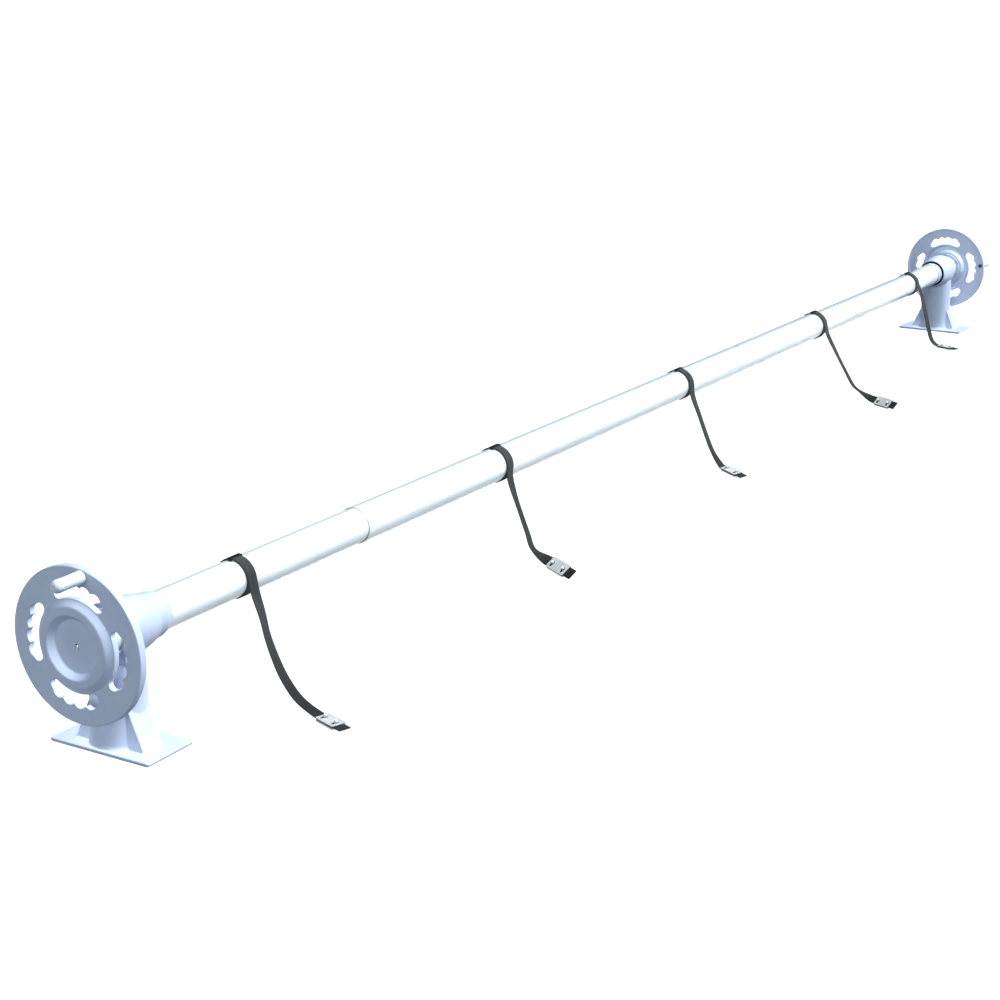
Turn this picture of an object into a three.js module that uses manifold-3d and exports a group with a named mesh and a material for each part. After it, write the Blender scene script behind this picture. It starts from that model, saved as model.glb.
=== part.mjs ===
// Telescopic reel for a swimming-pool cover, standing with its straps hanging.
//
// Millimetres, +Z up. +X runs along the tube from the left stand to the right stand.
// The origin is on the floor at the middle of the left stand's base, below the tube's axis.
// Each end is built in its own group, where +X points to the middle of the reel and the wheel
// is on the -X side. The right end is the same group turned half a turn about Z.
// Angles round the tube are measured from -Y up towards +Z.

import * as THREE from 'three';
import { mergeVertices } from 'three/addons/utils/BufferGeometryUtils.js';
import Module from 'manifold-3d';

const wasm = await Module();
wasm.setup();

// ---------------------------------------------------------------- driving dimensions

const STAND_SPAN = 4300;        // between the two stands' centres
const AXIS_HEIGHT = 206;        // of the tube's axis above the floor
const GAP = 0.3;                // between pieces that touch
const ROUND_STEPS = 40;         // sides of the tubes and what is round them
const WHEEL_STEPS = 48;
const SCREW_STEPS = 8;

const BASE = { length: 119, width: 222, thick: 6, corner: 3 };
const COLUMN = { footRadius: 51.5, topRadius: 48.5, topHeight: 176, shoulderHigh: 157, shoulderLow: 112 };
const GUSSET = { from: -29.5, to: 20.5, footY: 76, topY: 38, topHeight: 93 };
const HOUSING = { outer: -24.5, taper: 18, mouth: 69, radius: 54, mouthRadius: 45.2, bore: 40.3 };

const TUBE_WALL = 1.6;
const END_TUBE_RADIUS = 36.2;
const MIDDLE_TUBE_RADIUS = 38.1;
const TUBE_START = -41.7;       // where an end tube starts, in its end group
const END_TUBE_LENGTH = 1829;
const MIDDLE_TUBE_START = 701.5;
const MIDDLE_TUBE_LENGTH = 2447;

const WHEEL = {
  face: -94.5,                  // the outer face's place, in the end group
  radius: 140,
  web: 12,
  rim: 15,
  bossRadius: 78,
  bossHeight: 11,
  dishRadius: 57,
  dishFloor: 2,
  dishBack: 8,
};
const SLOT = { count: 4, inner: 84, cusp: 104, outer: 111, lobes: 4, halfSpan: 27.5 };
const KNOB = { radius: 12, length: 64, orbit: 128, bore: 3.4, lead: -3 };
const BOLT = { radius: 3, hole: 3.3, nutAcross: 10, nutThick: 5.5, washerRadius: 7.5 };

const HUB = { flangeRadius: 50, flangeThick: 6.2, shoulderRadius: 40, plugRadius: 34.3, plugEnd: 40 };
const HUB_SCREW = { count: 3, circle: 45, radius: 2, head: 3.6, reach: 4.2 };
// The seal sits in a counterbore at the housing's mouth.
const SEAL = { from: 66, to: 68.7, radius: 42.9 };
// The two collars differ: the left one covers the housing's mouth, and the right one is slim and
// leaves the seal's face open. Each is [x, radius] points along its outside.
const COLLAR_BORE = 36.5;
const COLLARS = {
  left: [[69.3, 43.4], [88, 42.6], [98, 40], [105, 37.6]],
  right: [[72, 38.4], [103, 38.4], [105, 37.7]],
};
const COLLAR_SCREW = { x: 88, radius: 2.2, from: 31, to: 40.2, angles: [-60, 120] };

const STRAP = { width: 25.4, thick: 1.6, slack: 0.5, layer: 2, startAngle: 80, tail: 19 };
const CLAMP = {
  length: 54,
  width: 31,
  plate: 2.4,
  corner: 3,
  gap: 0.5,
  pegPlace: 17,
  pegRadius: 3.5,
  pegTop: 9.4,
};
const KEEPER = { length: 9, lug: 5, wall: 1.6 };

// Each strap: its place along the tube, the points that its hanging part passes through, as
// offsets along X from that place, Y and Z, then its clamp's centre and direction. The strap leans
// by one angle as it hangs, and turns to the clamp's roll over its last few (twist) stations.
const STRAPS = [
  {
    x: 324.5,
    hang: [
      [0, -45, 185],
      [-2, -61, 144],
      [-10, -78, 109],
      [-23, -104, 77],
      [-38, -136, 48],
      [-51, -178, 20],
    ],
    clamp: [-73, -262, 4.3],
    along: [-0.35, -0.94, 0],
    lean: -15,
    roll: 0,
    twist: 17,
  },
  {
    x: 1245.5,
    hang: [[0, -40, 184], [-1, -49, 153], [-12, -76, 104], [-26, -101, 68], [-43, -125, 41]],
    clamp: [-64.5, -202, 17.8],
    along: [-0.3, -0.94, -0.17],
    lean: -14,
    roll: 40,
    twist: 5,
  },
  {
    x: 2181,
    hang: [[0, -44, 184], [-3, -67, 132], [-16, -95.5, 82], [-30, -121, 46]],
    clamp: [-55.5, -188, 9.2],
    along: [-0.38, -0.917, -0.12],
    lean: -7,
    roll: 7,
    twist: 6,
  },
  {
    x: 3124.5,
    hang: [[0, -48, 187], [-3, -76, 139], [-23, -116, 90], [-49, -160, 45], [-56, -184, 33]],
    clamp: [-82, -266, 14.8],
    along: [-0.33, -0.94, -0.05],
    lean: -8,
    roll: 40,
    twist: 5,
  },
  {
    x: 3969.5,
    hang: [[0, -50, 190], [0, -60, 160], [2, -75, 106], [7, -86, 58], [12, -99, 20]],
    clamp: [6, -150, 4.3],
    along: [-0.35, -0.94, 0],
    lean: 8,
    roll: 0,
    twist: 6,
  },
];

// ---------------------------------------------------------------- materials

const plastic = (color, roughness = 0.45) => (
  new THREE.MeshStandardMaterial({ color, roughness, metalness: 0 })
);
const metal = (color, roughness = 0.35) => (
  new THREE.MeshStandardMaterial({ color, roughness, metalness: 1 })
);

const WHITE_PLASTIC = plastic(0xeef0f4);
const NYLON = plastic(0xd9dad2, 0.4);
const WHITE_TUBE = metal(0xe9edef);
const STEEL = metal(0x8d9298);
const DARK_STEEL = metal(0x30343c, 0.5);
const BLACK_RUBBER = plastic(0x15161a, 0.8);
const BLACK_PLASTIC = plastic(0x2c3033, 0.6);
const WEBBING = plastic(0x4c5153, 0.9);
const MILKY_PLASTIC = plastic(0xdfe3ea, 0.3);

// ---------------------------------------------------------------- geometry helpers

const rad = THREE.MathUtils.degToRad;

function solid(geometry) {
  const bare = geometry.clone();
  bare.deleteAttribute('normal');
  bare.deleteAttribute('uv');
  const merged = mergeVertices(bare, 1e-4);
  return new wasm.Manifold(new wasm.Mesh({
    numProp: 3,
    vertProperties: Float32Array.from(merged.attributes.position.array),
    triVerts: Uint32Array.from(merged.index.array),
  }));
}

function geometryOf(manifold) {
  const mesh = manifold.getMesh();
  const geometry = new THREE.BufferGeometry();
  geometry.setAttribute('position', new THREE.BufferAttribute(Float32Array.from(mesh.vertProperties), 3));
  geometry.setIndex(new THREE.BufferAttribute(Uint32Array.from(mesh.triVerts), 1));
  geometry.computeVertexNormals();
  return geometry;
}

function combine(first, { add = [], cut = [] }) {
  let body = solid(first);
  for (const geometry of add) {
    body = body.add(solid(geometry));
  }
  for (const geometry of cut) {
    body = body.subtract(solid(geometry));
  }
  return geometryOf(body);
}

// A solid of revolution about the X axis. The profile is [x, radius] points in order; an open
// profile starts and ends on the axis, and a closed one is a ring's section.
function turned(profile, { ring = false, steps = ROUND_STEPS } = {}) {
  const points = profile.map(([x, r]) => new THREE.Vector2(r, x));
  if (ring) {
    points.push(points[0].clone());
  }
  return outward(new THREE.LatheGeometry(points, steps).rotateZ(-Math.PI / 2));
}

// Turns a closed geometry's faces round where its signed volume is negative.
function outward(geometry) {
  const at = geometry.attributes.position;
  const index = geometry.index.array;
  const [a, b, c] = [new THREE.Vector3(), new THREE.Vector3(), new THREE.Vector3()];
  let volume = 0;
  for (let k = 0; k < index.length; k += 3) {
    a.fromBufferAttribute(at, index[k]);
    b.fromBufferAttribute(at, index[k + 1]);
    c.fromBufferAttribute(at, index[k + 2]);
    volume += a.dot(b.cross(c));
  }
  if (volume < 0) {
    index.reverse();
  }
  return geometry;
}

function rod(radius, from, to, steps = 24) {
  return turned([[from, 0], [from, radius], [to, radius], [to, 0]], { steps });
}

function pipe(inner, outer, from, to) {
  return turned([[from, inner], [from, outer], [to, outer], [to, inner]], { ring: true });
}

// A geometry made along X on the axis, moved off the axis to a radius and an angle.
function offAxis(geometry, radius, angle) {
  return geometry.translate(0, -radius * Math.cos(rad(angle)), radius * Math.sin(rad(angle)));
}

// A rod that points away from the X axis at x, between two radii.
function radialRod(x, radius, from, to, angle) {
  return rod(radius, from, to, SCREW_STEPS)
    .rotateZ(-Math.PI / 2)
    .rotateX(-rad(angle))
    .translate(x, 0, 0);
}

function roundedPlate(length, width, thick, corner) {
  const [a, b] = [length / 2 - corner, width / 2 - corner];
  const shape = new THREE.Shape();
  shape.absarc(a, b, corner, 0, Math.PI / 2);
  shape.absarc(-a, b, corner, Math.PI / 2, Math.PI);
  shape.absarc(-a, -b, corner, Math.PI, 1.5 * Math.PI);
  shape.absarc(a, -b, corner, 1.5 * Math.PI, 2 * Math.PI);
  shape.closePath();
  return new THREE.ExtrudeGeometry(shape, { depth: thick, bevelEnabled: false, curveSegments: 2 });
}

function piece(name, geometry, material) {
  const mesh = new THREE.Mesh(geometry, material);
  mesh.name = name;
  return mesh;
}

// ---------------------------------------------------------------- the stands

// One moulding: a base plate, a conical column with a wedge on each side, and the housing.
function standGeometry() {
  const base = roundedPlate(BASE.length, BASE.width, BASE.thick, BASE.corner);
  const column = new THREE.CylinderGeometry(
    COLUMN.topRadius, COLUMN.footRadius, COLUMN.topHeight - BASE.thick / 2, ROUND_STEPS);
  column.rotateX(Math.PI / 2).translate(0, 0, (COLUMN.topHeight + BASE.thick / 2) / 2);
  const wedge = new THREE.Shape([
    new THREE.Vector2(-GUSSET.footY, BASE.thick / 2),
    new THREE.Vector2(GUSSET.footY, BASE.thick / 2),
    new THREE.Vector2(GUSSET.footY, BASE.thick + 1),
    new THREE.Vector2(GUSSET.topY, GUSSET.topHeight),
    new THREE.Vector2(-GUSSET.topY, GUSSET.topHeight),
    new THREE.Vector2(-GUSSET.footY, BASE.thick + 1),
  ]);
  const wedges = new THREE.ExtrudeGeometry(wedge, { depth: GUSSET.to - GUSSET.from, bevelEnabled: false });
  wedges.rotateX(Math.PI / 2).rotateZ(Math.PI / 2).translate(GUSSET.from, 0, 0);
  const { outer, taper, mouth, radius, mouthRadius, bore } = HOUSING;
  const barrel = turned([
    [outer, 0], [outer, radius - 3], [outer + 3, radius], [taper, radius],
    [taper + 20, radius - 2], [taper + 38, radius - 5.5], [mouth, mouthRadius], [mouth, 0],
  ]).translate(0, 0, AXIS_HEIGHT);
  const hole = rod(bore, outer - 1, mouth + 1, ROUND_STEPS).translate(0, 0, AXIS_HEIGHT);
  const seat = rod(SEAL.radius + GAP, SEAL.from - GAP, mouth + 1, ROUND_STEPS).translate(0, 0, AXIS_HEIGHT);
  return combine(base, { add: [column, wedges, barrel], cut: [hole, seat, shoulderCut()] });
}

// What the column loses on the wheel's side, so that it slopes up to the housing's end face.
function shoulderCut() {
  const { footRadius, shoulderHigh, shoulderLow } = COLUMN;
  const section = new THREE.Shape([
    new THREE.Vector2(HOUSING.outer, AXIS_HEIGHT),
    new THREE.Vector2(-footRadius, AXIS_HEIGHT),
    new THREE.Vector2(-footRadius, shoulderLow),
    new THREE.Vector2(HOUSING.outer, shoulderHigh),
  ]);
  const block = new THREE.ExtrudeGeometry(section, { depth: 2 * footRadius, bevelEnabled: false });
  return block.rotateX(Math.PI / 2).translate(0, footRadius, 0);
}

// ---------------------------------------------------------------- bearing, seal and collar

function bushGeometry() {
  const inner = END_TUBE_RADIUS + GAP;
  const outer = HOUSING.bore - GAP;
  const from = HOUSING.outer - GAP;
  const to = SEAL.from - GAP;
  return turned([
    [from - 3, inner], [from - 3, 46], [from, 46], [from, outer], [to, outer], [to, inner],
  ], { ring: true });
}

function sealGeometry() {
  return pipe(END_TUBE_RADIUS + GAP, SEAL.radius, SEAL.from, SEAL.to);
}

function collarGeometry(side) {
  const outside = COLLARS[side];
  const ring = turned([
    [outside[0][0], COLLAR_BORE], ...outside, [outside.at(-1)[0], COLLAR_BORE],
  ], { ring: true });
  const holes = COLLAR_SCREW.angles.map((angle) => radialRod(
    COLLAR_SCREW.x, COLLAR_SCREW.radius + GAP, 34, 44, angle));
  return combine(ring, { cut: holes });
}

function collarScrewGeometry(angle) {
  const { x, radius, from, to } = COLLAR_SCREW;
  return radialRod(x, radius, from, to, angle);
}

function endTubeGeometry() {
  const tube = pipe(
    END_TUBE_RADIUS - TUBE_WALL, END_TUBE_RADIUS, TUBE_START, TUBE_START + END_TUBE_LENGTH);
  const holes = COLLAR_SCREW.angles.map((angle) => radialRod(
    COLLAR_SCREW.x, COLLAR_SCREW.radius + GAP, 30, 38, angle));
  return combine(tube, { cut: holes });
}

// ---------------------------------------------------------------- the handwheel and its hub

// A kidney slot with a scalloped outer edge, centred on the angle, as a Shape in the (-Y, Z) plane.
function slotShape(angle) {
  const { inner, cusp, outer, lobes, halfSpan } = SLOT;
  const half = rad(halfSpan / lobes);
  const rise = outer - cusp * Math.cos(half);
  const chord = cusp * Math.sin(half);
  const lobeRadius = (chord ** 2 + rise ** 2) / (2 * rise);
  const lobeCentre = outer - lobeRadius;
  const reach = Math.atan2(chord, cusp * Math.cos(half) - lobeCentre);
  const points = [];
  const at = (r, degrees, x = 0, y = 0) => {
    const a = rad(degrees);
    points.push(new THREE.Vector2(r * Math.cos(a) + x, r * Math.sin(a) + y));
  };
  for (let lobe = 0; lobe < lobes; lobe += 1) {
    const middle = angle - halfSpan + (2 * lobe + 1) * halfSpan / lobes;
    const [x, y] = [lobeCentre * Math.cos(rad(middle)), lobeCentre * Math.sin(rad(middle))];
    for (let k = lobe === 0 ? 0 : 1; k <= 4; k += 1) {
      at(lobeRadius, middle + THREE.MathUtils.radToDeg(reach) * (k / 2 - 1), x, y);
    }
  }
  slotEnd(at, angle + halfSpan, 1);
  for (let k = 0; k <= 6; k += 1) {
    at(inner, angle + halfSpan * (1 - k / 3));
  }
  slotEnd(at, angle - halfSpan, -1);
  return new THREE.Shape(points);
}

// The slot's round end: half a turn between the outer and the inner edge.
function slotEnd(at, angle, side) {
  const middle = (SLOT.cusp + SLOT.inner) / 2;
  const radius = (SLOT.cusp - SLOT.inner) / 2;
  const [x, y] = [middle * Math.cos(rad(angle)), middle * Math.sin(rad(angle))];
  for (let k = 1; k <= 3; k += 1) {
    const turn = side > 0 ? 45 * k : 180 + 45 * k;
    at(radius, angle + turn, x, y);
  }
}

function wheelGeometry(turn, knobAngle) {
  const { face, radius, web, rim, bossRadius, bossHeight, dishRadius, dishFloor, dishBack } = WHEEL;
  const profile = [
    [dishFloor, 0], [dishFloor, dishRadius - 10], [2 - bossHeight, dishRadius - 1],
    [-bossHeight, dishRadius + 2], [-bossHeight, bossRadius - 7], [3 - bossHeight, bossRadius - 2.5],
    [0, bossRadius], [0, radius - 3], [3, radius], [rim - 1.5, radius], [rim, radius - 1.5],
    [rim, radius - 4.5], [web, radius - 6], [web, bossRadius + 3], [-bossHeight / 2, bossRadius - 4],
    [-bossHeight / 2, dishRadius + 6], [dishBack, dishRadius - 2], [dishBack, 0],
  ].map(([depth, r]) => [face + depth, r]);
  const disc = turned(profile, { steps: WHEEL_STEPS });
  const cut = [];
  for (let k = 0; k < SLOT.count; k += 1) {
    const slot = new THREE.ExtrudeGeometry(slotShape(turn + 360 * k / SLOT.count), {
      depth: 30, bevelEnabled: false,
    });
    // The shape's (x, y) become (-Y, Z), and the depth runs along -X.
    slot.applyMatrix4(new THREE.Matrix4().makeBasis(
      new THREE.Vector3(0, -1, 0), new THREE.Vector3(0, 0, 1), new THREE.Vector3(-1, 0, 0)));
    cut.push(slot.translate(face + 22, 0, 0));
  }
  cut.push(offAxis(rod(BOLT.hole, face - 1, face + rim + 1, 16), KNOB.orbit, knobAngle));
  cut.push(rod(2.8, face, face + dishBack + 1, SCREW_STEPS));
  for (let k = 0; k < HUB_SCREW.count; k += 1) {
    const from = face + dishBack - HUB_SCREW.reach - GAP;
    cut.push(offAxis(rod(HUB_SCREW.radius + GAP, from, face + dishBack + 1, SCREW_STEPS),
      HUB_SCREW.circle, hubScrewAngle(k)));
  }
  return combine(disc, { cut });
}

const hubScrewAngle = (k) => 30 + 360 * k / HUB_SCREW.count;
const HUB_FACE = WHEEL.face + WHEEL.dishBack + GAP;
const FLANGE_BACK = HUB_FACE + HUB.flangeThick;

function hubGeometry() {
  const { flangeRadius, shoulderRadius, plugRadius, plugEnd } = HUB;
  const shoulder = TUBE_START - GAP;
  const hub = turned([
    [HUB_FACE, 0], [HUB_FACE, flangeRadius], [FLANGE_BACK - 1, flangeRadius],
    [FLANGE_BACK, flangeRadius - 1], [FLANGE_BACK, shoulderRadius + 0.5], [shoulder, shoulderRadius],
    [shoulder, plugRadius], [plugEnd, plugRadius - 0.5], [plugEnd, plugRadius - 4],
    [HUB_FACE + 14, plugRadius - 4], [HUB_FACE + 14, 0],
  ]);
  const cut = [rod(2.8, HUB_FACE - 1, HUB_FACE + 10, SCREW_STEPS)];
  for (let k = 0; k < HUB_SCREW.count; k += 1) {
    cut.push(offAxis(rod(HUB_SCREW.radius + GAP, HUB_FACE - 1, FLANGE_BACK + 1, SCREW_STEPS),
      HUB_SCREW.circle, hubScrewAngle(k)));
  }
  return combine(hub, { cut });
}

// A pan-head screw along X with its head on the +X side of the seat.
function screw(seat, reach, radius, headRadius, headHeight) {
  return turned([
    [seat - reach, 0], [seat - reach, radius], [seat, radius], [seat, headRadius],
    [seat + headHeight * 0.6, headRadius], [seat + headHeight, headRadius * 0.6], [seat + headHeight, 0],
  ], { steps: SCREW_STEPS });
}

function hubScrewGeometry(k) {
  const { circle, radius, head, reach } = HUB_SCREW;
  const seat = FLANGE_BACK + GAP;
  const tip = WHEEL.face + WHEEL.dishBack - reach;
  return offAxis(screw(seat, seat - tip, radius, head, 2.4), circle, hubScrewAngle(k));
}

// The screw at the middle of the wheel's dish, its head on the outside.
function wheelScrewGeometry() {
  const seat = WHEEL.face + WHEEL.dishFloor - GAP;
  return outward(screw(0, 15, 2.5, 5.2, 2.6).scale(-1, 1, 1)).translate(seat, 0, 0);
}

// ---------------------------------------------------------------- the crank knob

function knobGeometry() {
  const foot = WHEEL.face - GAP - 1.5 - GAP;
  const tip = foot - KNOB.length;
  const r = KNOB.radius;
  // The tip is closed, and the bolt's head turns in a pocket behind it.
  return turned([
    [tip + 3, 0], [tip + 3, 6.2], [tip + 9, 6.2], [tip + 9, KNOB.bore], [foot, KNOB.bore], [foot, r],
    [tip + 5, r - 0.9], [tip + 1.5, r - 2.5], [tip, r - 5], [tip, 0],
  ], { steps: 24 });
}

function knobWasherGeometry() {
  return turned([
    [WHEEL.face - GAP - 1.5, BOLT.hole], [WHEEL.face - GAP - 1.5, BOLT.washerRadius],
    [WHEEL.face - GAP, BOLT.washerRadius], [WHEEL.face - GAP, BOLT.hole],
  ], { ring: true, steps: 16 });
}

function knobBoltGeometry() {
  const seat = WHEEL.face - GAP - 1.5 - GAP - KNOB.length + 9 - GAP;
  const end = WHEEL.face + WHEEL.web + BOLT.nutThick + 1.5;
  return turned([
    [seat - 4, 0], [seat - 4, 4], [seat - 3, 5.2], [seat, 5.2], [seat, BOLT.radius], [end, BOLT.radius],
    [end, 0],
  ], { steps: 16 });
}

function knobNutGeometry() {
  const from = WHEEL.face + WHEEL.web + GAP;
  const corner = BOLT.nutAcross / 2 / Math.cos(Math.PI / 6);
  const hexagon = turned([[from, 0], [from, corner], [from + BOLT.nutThick, corner],
    [from + BOLT.nutThick, 0]], { steps: 6 });
  return combine(hexagon, { cut: [rod(BOLT.radius + GAP, from - 1, from + BOLT.nutThick + 1, 16)] });
}

// ---------------------------------------------------------------- one end of the reel

function endGroup(side, turn, knobSlot) {
  const knobAngle = turn + 90 * knobSlot + KNOB.lead;
  const group = new THREE.Group();
  group.add(piece(`${side}_stand`, standGeometry(), WHITE_PLASTIC));
  const spindle = new THREE.Group();
  spindle.position.z = AXIS_HEIGHT;
  spindle.add(
    piece(`${side}_bearing_bush`, bushGeometry(), NYLON),
    piece(`${side}_seal_ring`, sealGeometry(), BLACK_RUBBER),
    piece(`${side}_collar`, collarGeometry(side), WHITE_PLASTIC),
    piece(`${side}_tube`, endTubeGeometry(), WHITE_TUBE),
    piece(`${side}_wheel`, wheelGeometry(turn, knobAngle), WHITE_PLASTIC),
    piece(`${side}_hub`, hubGeometry(), NYLON),
    piece(`${side}_wheel_screw`, wheelScrewGeometry(), DARK_STEEL),
  );
  COLLAR_SCREW.angles.forEach((angle, k) => {
    spindle.add(piece(`${side}_collar_screw_${k + 1}`, collarScrewGeometry(angle), STEEL));
  });
  for (let k = 0; k < HUB_SCREW.count; k += 1) {
    spindle.add(piece(`${side}_hub_screw_${k + 1}`, hubScrewGeometry(k), STEEL));
  }
  const crank = new THREE.Group();
  crank.position.y = -KNOB.orbit * Math.cos(rad(knobAngle));
  crank.position.z = KNOB.orbit * Math.sin(rad(knobAngle));
  crank.add(
    piece(`${side}_knob`, knobGeometry(), WHITE_PLASTIC),
    piece(`${side}_knob_washer`, knobWasherGeometry(), STEEL),
    piece(`${side}_knob_bolt`, knobBoltGeometry(), DARK_STEEL),
    piece(`${side}_knob_nut`, knobNutGeometry(), DARK_STEEL),
  );
  spindle.add(crank);
  group.add(spindle);
  return group;
}

// ---------------------------------------------------------------- the straps

function tubeRadiusAt(x) {
  const onMiddle = x > MIDDLE_TUBE_START && x < MIDDLE_TUBE_START + MIDDLE_TUBE_LENGTH;
  return onMiddle ? MIDDLE_TUBE_RADIUS : END_TUBE_RADIUS;
}

// The strap's centreline, from its end on top of the tube, once round and over itself, then down
// in front and through its clamp.
function strapLine(strap) {
  const first = tubeRadiusAt(strap.x) + STRAP.slack + STRAP.thick / 2;
  const points = [];
  const finish = -352;
  for (let angle = STRAP.startAngle; angle >= finish; angle -= 14.4) {
    const radius = first + STRAP.layer * THREE.MathUtils.smoothstep(-angle, 232, 276);
    const [y, z] = [-radius * Math.cos(rad(angle)), AXIS_HEIGHT + radius * Math.sin(rad(angle))];
    points.push(new THREE.Vector3(strap.x, y, z));
  }
  const along = new THREE.Vector3(...strap.along).normalize();
  const clamp = new THREE.Vector3(...strap.clamp).add(new THREE.Vector3(strap.x, 0, 0));
  const before = (length) => clamp.clone().addScaledVector(along, -length);
  const hanging = new THREE.CatmullRomCurve3([
    points.at(-2), points.at(-1),
    ...strap.hang.map(([x, y, z]) => new THREE.Vector3(strap.x + x, y, z)),
    before(CLAMP.length / 2 + 10), before(CLAMP.length / 2), clamp,
  ], false, 'centripetal');
  const curve = hanging.getSpacedPoints(24).filter((p) => (
    p.z < points.at(-1).z - 4 && p.distanceTo(clamp) > CLAMP.length / 2 + 2));
  points.push(...curve);
  for (const length of [CLAMP.length / 2, CLAMP.length / 4, 0, -CLAMP.length / 4, -CLAMP.length / 2]) {
    points.push(before(length));
  }
  points.push(before(-CLAMP.length / 2 - STRAP.tail));
  return points;
}

// The strap's axes at each point: across it, away from its face, and along it.
function strapFrames(points, { lean, roll, twist }) {
  const leaving = 32;            // the station where the strap is clear of the tube
  const clampStation = points.length - 6;
  return points.map((point, k) => {
    const along = points[Math.min(k + 1, points.length - 1)].clone();
    along.sub(points[Math.max(k - 1, 0)]).normalize();
    const across = new THREE.Vector3(1, 0, 0).addScaledVector(along, -along.x).normalize();
    const away = along.clone().cross(across);
    const hanging = lean * THREE.MathUtils.smoothstep(k, leaving, leaving + 6);
    const share = THREE.MathUtils.smoothstep(k, clampStation - twist, clampStation);
    const angle = rad(hanging + (roll - hanging) * share);
    return new THREE.Matrix4().makeBasis(
      across.clone().multiplyScalar(Math.cos(angle)).addScaledVector(away, Math.sin(angle)),
      away.clone().multiplyScalar(Math.cos(angle)).addScaledVector(across, -Math.sin(angle)),
      along).setPosition(point);
  });
}

// A flat bar bent along the frames, with a hole for each of the clamp's pegs.
function strapGeometry(frames, clampFrame) {
  const steps = frames.length - 1;
  const bar = new THREE.BoxGeometry(STRAP.width, STRAP.thick, 1, 1, 1, steps);
  const at = bar.attributes.position;
  const point = new THREE.Vector3();
  for (let k = 0; k < at.count; k += 1) {
    const station = Math.round((at.getZ(k) + 0.5) * steps);
    point.set(at.getX(k), at.getY(k), 0).applyMatrix4(frames[station]);
    at.setXYZ(k, point.x, point.y, point.z);
  }
  const cut = pegPlaces().map((place) => peg(CLAMP.pegRadius + 0.4, -3, 3).translate(0, 0, place)
    .applyMatrix4(clampFrame));
  return combine(bar, { cut });
}

// ---------------------------------------------------------------- the strap clamps

// A clamp's own axes are the strap's: X across it, Y away from its face, Z along it.
const pegPlaces = () => [-CLAMP.pegPlace, CLAMP.pegPlace];

function peg(radius, from, to) {
  return rod(radius, from, to, SCREW_STEPS).rotateZ(Math.PI / 2);
}

function clampPlate(from) {
  return roundedPlate(CLAMP.width, CLAMP.length, CLAMP.plate, CLAMP.corner)
    .rotateX(-Math.PI / 2)
    .translate(0, from, 0);
}

function clampBaseGeometry() {
  const top = -STRAP.thick / 2 - CLAMP.gap;
  const pegs = pegPlaces().map((place) => (
    peg(CLAMP.pegRadius, top - 1, CLAMP.pegTop).translate(0, 0, place)
  ));
  return combine(clampPlate(top - CLAMP.plate), { add: pegs });
}

function clampCoverGeometry() {
  const from = STRAP.thick / 2 + CLAMP.gap;
  const holes = pegPlaces().map((place) => peg(CLAMP.pegRadius + 0.4, 0, 9).translate(0, 0, place));
  return combine(clampPlate(from), { cut: holes });
}

// A staple over the strap's two layers on top of the tube, with a lug at its -X edge.
function keeperGeometry() {
  const side = STRAP.width / 2 + 0.4;
  const top = STRAP.slack + STRAP.thick + STRAP.layer + 0.4;
  const shape = new THREE.Shape([
    new THREE.Vector2(-side - KEEPER.lug, 0.6),
    new THREE.Vector2(-side, 0.6),
    new THREE.Vector2(-side, top),
    new THREE.Vector2(side, top),
    new THREE.Vector2(side, 0.6),
    new THREE.Vector2(side + KEEPER.wall, 0.6),
    new THREE.Vector2(side + KEEPER.wall, top + KEEPER.wall),
    new THREE.Vector2(-side - KEEPER.lug, top + KEEPER.wall),
  ]);
  const staple = new THREE.ExtrudeGeometry(shape, { depth: KEEPER.length, bevelEnabled: false });
  return staple.rotateX(Math.PI / 2).translate(0, KEEPER.length / 2, 0);
}

function strapGroup(strap, number) {
  const points = strapLine(strap);
  const frames = strapFrames(points, strap);
  const clampFrame = frames.at(-4);
  const group = new THREE.Group();
  group.add(piece(`strap_${number}`, strapGeometry(frames, clampFrame), WEBBING));
  const keeper = piece(`strap_keeper_${number}`, keeperGeometry(), BLACK_PLASTIC);
  const lean = rad(STRAP.startAngle - 90 + 8);
  const radius = tubeRadiusAt(strap.x);
  keeper.rotation.x = -lean;
  keeper.position.set(strap.x, radius * Math.sin(lean), AXIS_HEIGHT + radius * Math.cos(lean));
  group.add(keeper);
  const clamp = new THREE.Group();
  clamp.applyMatrix4(clampFrame);
  clamp.add(
    piece(`clamp_base_${number}`, clampBaseGeometry(), MILKY_PLASTIC),
    piece(`clamp_cover_${number}`, clampCoverGeometry(), MILKY_PLASTIC),
  );
  group.add(clamp);
  return group;
}

// ---------------------------------------------------------------- the whole reel

const reel = new THREE.Group();
const leftEnd = endGroup('left', -7, 1);
const rightEnd = endGroup('right', -5, 2);
rightEnd.rotation.z = Math.PI;
rightEnd.position.x = STAND_SPAN;
reel.add(leftEnd, rightEnd);

const middleTube = pipe(
  MIDDLE_TUBE_RADIUS - TUBE_WALL, MIDDLE_TUBE_RADIUS, MIDDLE_TUBE_START,
  MIDDLE_TUBE_START + MIDDLE_TUBE_LENGTH).translate(0, 0, AXIS_HEIGHT);
reel.add(piece('middle_tube', middleTube, WHITE_TUBE));

STRAPS.forEach((strap, k) => reel.add(strapGroup(strap, k + 1)));

export default reel;
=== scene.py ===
"""The looks of a telescopic pool-cover reel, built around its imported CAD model.

Lengths inside the geometry functions are millimetres, as in the CAD; MM turns them into metres.
Each end of the reel is built in its own axes, where +X points to the middle of the reel, and the
right end is the same shapes turned half a turn about Z. Angles round the tube are measured from
-Y up towards +Z.
"""

import math

import bmesh
import bpy
from mathutils import Euler, Matrix, Vector


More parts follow.
